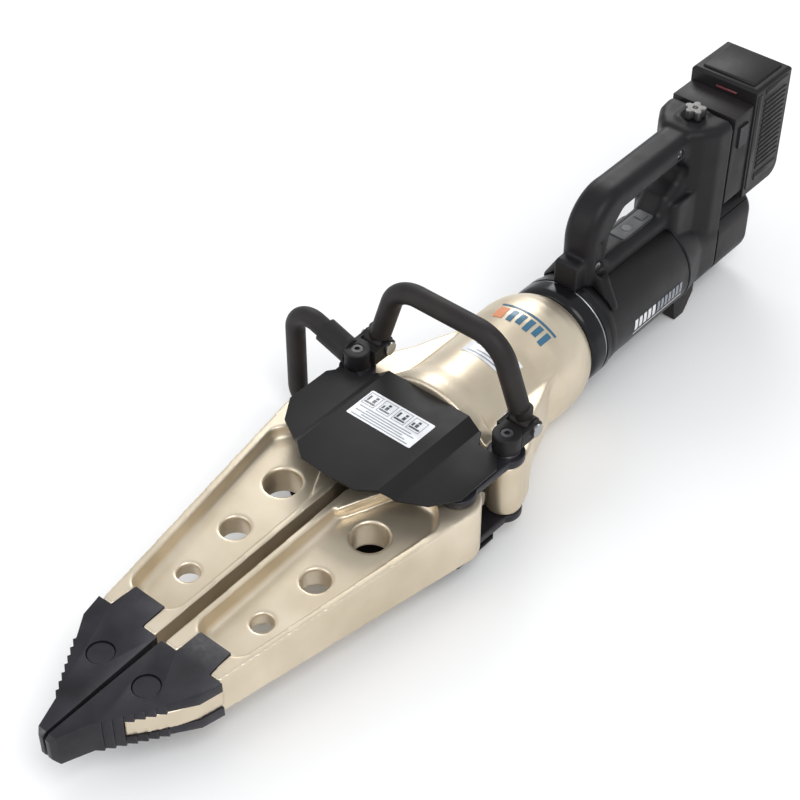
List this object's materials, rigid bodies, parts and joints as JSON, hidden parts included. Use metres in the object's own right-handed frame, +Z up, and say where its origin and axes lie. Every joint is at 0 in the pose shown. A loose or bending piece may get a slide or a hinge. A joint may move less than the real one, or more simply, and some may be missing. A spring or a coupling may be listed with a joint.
{
  "type": "rescue_spreader",
  "caption": "Battery powered hydraulic rescue spreader with gold alloy arms, black steel tips, carrying bail, side handle and D-handle.",
  "frame": {"origin": "bottom centre of the bounding box of the closed tool at rest", "axes": "+X runs from the tips towards the battery, +Y to the operator's right, +Z up"},
  "size_m": [0.972, 0.2808, 0.224],
  "materials": {
    "gold_alloy": "satin champagne gold anodised alloy",
    "black_steel": "black oxide steel, worn satin",
    "bright_steel": "ground steel",
    "black_paint": "satin black powder coat",
    "black_plastic": "fine grained black moulding",
    "grip_rubber": "matt black rubber coated tube",
    "grey_plastic": "grey moulding",
    "chrome_knob": "polished knob",
    "bronze": "bearing bronze",
    "seal_rubber": "seal rubber",
    "alloy": "machined light alloy",
    "label_white": "printed white film",
    "lens": "clear lens",
    "cells": "cell sleeves",
    "board": "circuit board"
  },
  "bodies": {
    "housing": {"front_housing": "gold_alloy", "flange_ring": "black_paint", "motor_tube": "black_plastic", "handle_shell_left": "black_plastic", "handle_shell_right": "black_plastic", "rear_base": "black_plastic", "rear_feet": "grip_rubber", "top_cover": "black_paint", "bottom_cover": "black_paint", "cover_screws": "bright_steel", "cover_label": "label_white", "bail_bracket_left": "black_paint", "bail_bracket_right": "black_paint", "bracket_screws": "black_steel", "bail_pins": "bright_steel", "side_handle": "grip_rubber", "side_handle_socket": "black_paint", "side_handle_clamp": "black_paint", "knuckle_pins": "bright_steel", "rod_bush": "bronze", "rod_seal": "seal_rubber", "cylinder_head": "alloy", "pump_block": "alloy", "electric_motor": "bright_steel", "handle_screws": "bright_steel", "switch_panel": "grey_plastic", "status_lens": "lens", "control_board": "board", "valve_body": "alloy", "valve_spring": "bright_steel", "battery_dock": "black_plastic"},
    "ram": {"crosshead": "black_steel", "crosshead_pins": "bright_steel", "piston_rod": "bright_steel", "piston": "alloy", "piston_seal": "seal_rubber", "piston_nut": "bright_steel"},
    "link_left_body": {"link_straps_left": "black_steel", "link_pin_left": "bright_steel"},
    "link_right_body": {"link_straps_right": "black_steel", "link_pin_right": "bright_steel"},
    "arm_left_body": {"arm_left": "gold_alloy", "arm_bush_left": "bronze", "tip_left": "black_steel", "tip_pin_spring_left": "bright_steel"},
    "arm_right_body": {"arm_right": "gold_alloy", "arm_bush_right": "bronze", "tip_right": "black_steel", "tip_pin_spring_right": "bright_steel"},
    "tip_pin_left_body": {"tip_pin_left": "black_steel"},
    "tip_pin_right_body": {"tip_pin_right": "black_steel"},
    "bail": {"carry_bail": "grip_rubber"},
    "knob": {"star_knob": "chrome_knob", "valve_spindle": "bright_steel"},
    "button": {"power_button": "grey_plastic"},
    "battery": {"battery_adapter": "black_plastic", "battery_case": "black_plastic", "battery_cells": "cells"},
    "latch_left_body": {"battery_latch_left": "black_plastic"},
    "latch_right_body": {"battery_latch_right": "black_plastic"}
  },
  "joints": [
    {"name": "spread_stroke", "type": "slide", "parent": "housing", "child": "ram", "axis": [-1, 0, 0], "range_m": [0, 0.0442]},
    {"name": "link_left_pivot", "type": "hinge", "parent": "housing", "child": "link_left_body", "pos_m": [-0.029, -0.11806, 0.062], "axis": [0, 0, 1], "range_deg": [-2.5, 1]},
    {"name": "arm_left_pivot", "type": "hinge", "parent": "link_left_body", "child": "arm_left_body", "pos_m": [-0.094, -0.11606, 0.062], "axis": [0, 0, 1], "range_deg": [-1, 55]},
    {"name": "tip_pin_left_press", "type": "slide", "parent": "arm_left_body", "child": "tip_pin_left_body", "axis": [0, 0, -1], "range_m": [0, 0.0023], "stiffness_N_per_m": 400, "springref_m": -0.004},
    {"name": "link_right_pivot", "type": "hinge", "parent": "housing", "child": "link_right_body", "pos_m": [-0.029, 0.05394, 0.062], "axis": [0, 0, -1], "range_deg": [-2.5, 1]},
    {"name": "arm_right_pivot", "type": "hinge", "parent": "link_right_body", "child": "arm_right_body", "pos_m": [-0.094, 0.05194, 0.062], "axis": [0, 0, -1], "range_deg": [-1, 55]},
    {"name": "tip_pin_right_press", "type": "slide", "parent": "arm_right_body", "child": "tip_pin_right_body", "axis": [0, 0, -1], "range_m": [0, 0.0023], "stiffness_N_per_m": 400, "springref_m": -0.004},
    {"name": "bail_fold", "type": "hinge", "parent": "housing", "child": "bail", "pos_m": [-0.003, -0.03206, 0.112], "axis": [0, 1, 0], "range_deg": [-12, 70]},
    {"name": "knob_turn", "type": "hinge", "parent": "housing", "child": "knob", "pos_m": [0.367, -0.03506, 0.212], "axis": [0, 0, 1], "range_deg": [-30, 30], "stiffness_Nm_per_rad": 0.15},
    {"name": "power_press", "type": "slide", "parent": "housing", "child": "button", "axis": [0, 0, -1], "range_m": [0, 0.002], "stiffness_N_per_m": 300, "springref_m": -0.003},
    {"name": "battery_slide", "type": "slide", "parent": "housing", "child": "battery", "axis": [0, 0, 1], "range_m": [0, 0.07]},
    {"name": "latch_left_press", "type": "slide", "parent": "battery", "child": "latch_left_body", "axis": [0, 1, 0], "range_m": [0, 0.003], "stiffness_N_per_m": 300, "springref_m": -0.003},
    {"name": "latch_right_press", "type": "slide", "parent": "battery", "child": "latch_right_body", "axis": [0, -1, 0], "range_m": [0, 0.003], "stiffness_N_per_m": 300, "springref_m": -0.003}
  ],
  "couplings": [
    {"joint": "link_left_pivot", "follows": "spread_stroke", "rad_per_m": -0.66895},
    {"joint": "arm_left_pivot", "follows": "spread_stroke", "rad_per_m": 21.189},
    {"joint": "link_right_pivot", "follows": "spread_stroke", "rad_per_m": -0.66895},
    {"joint": "arm_right_pivot", "follows": "spread_stroke", "rad_per_m": 21.189}
  ]
}
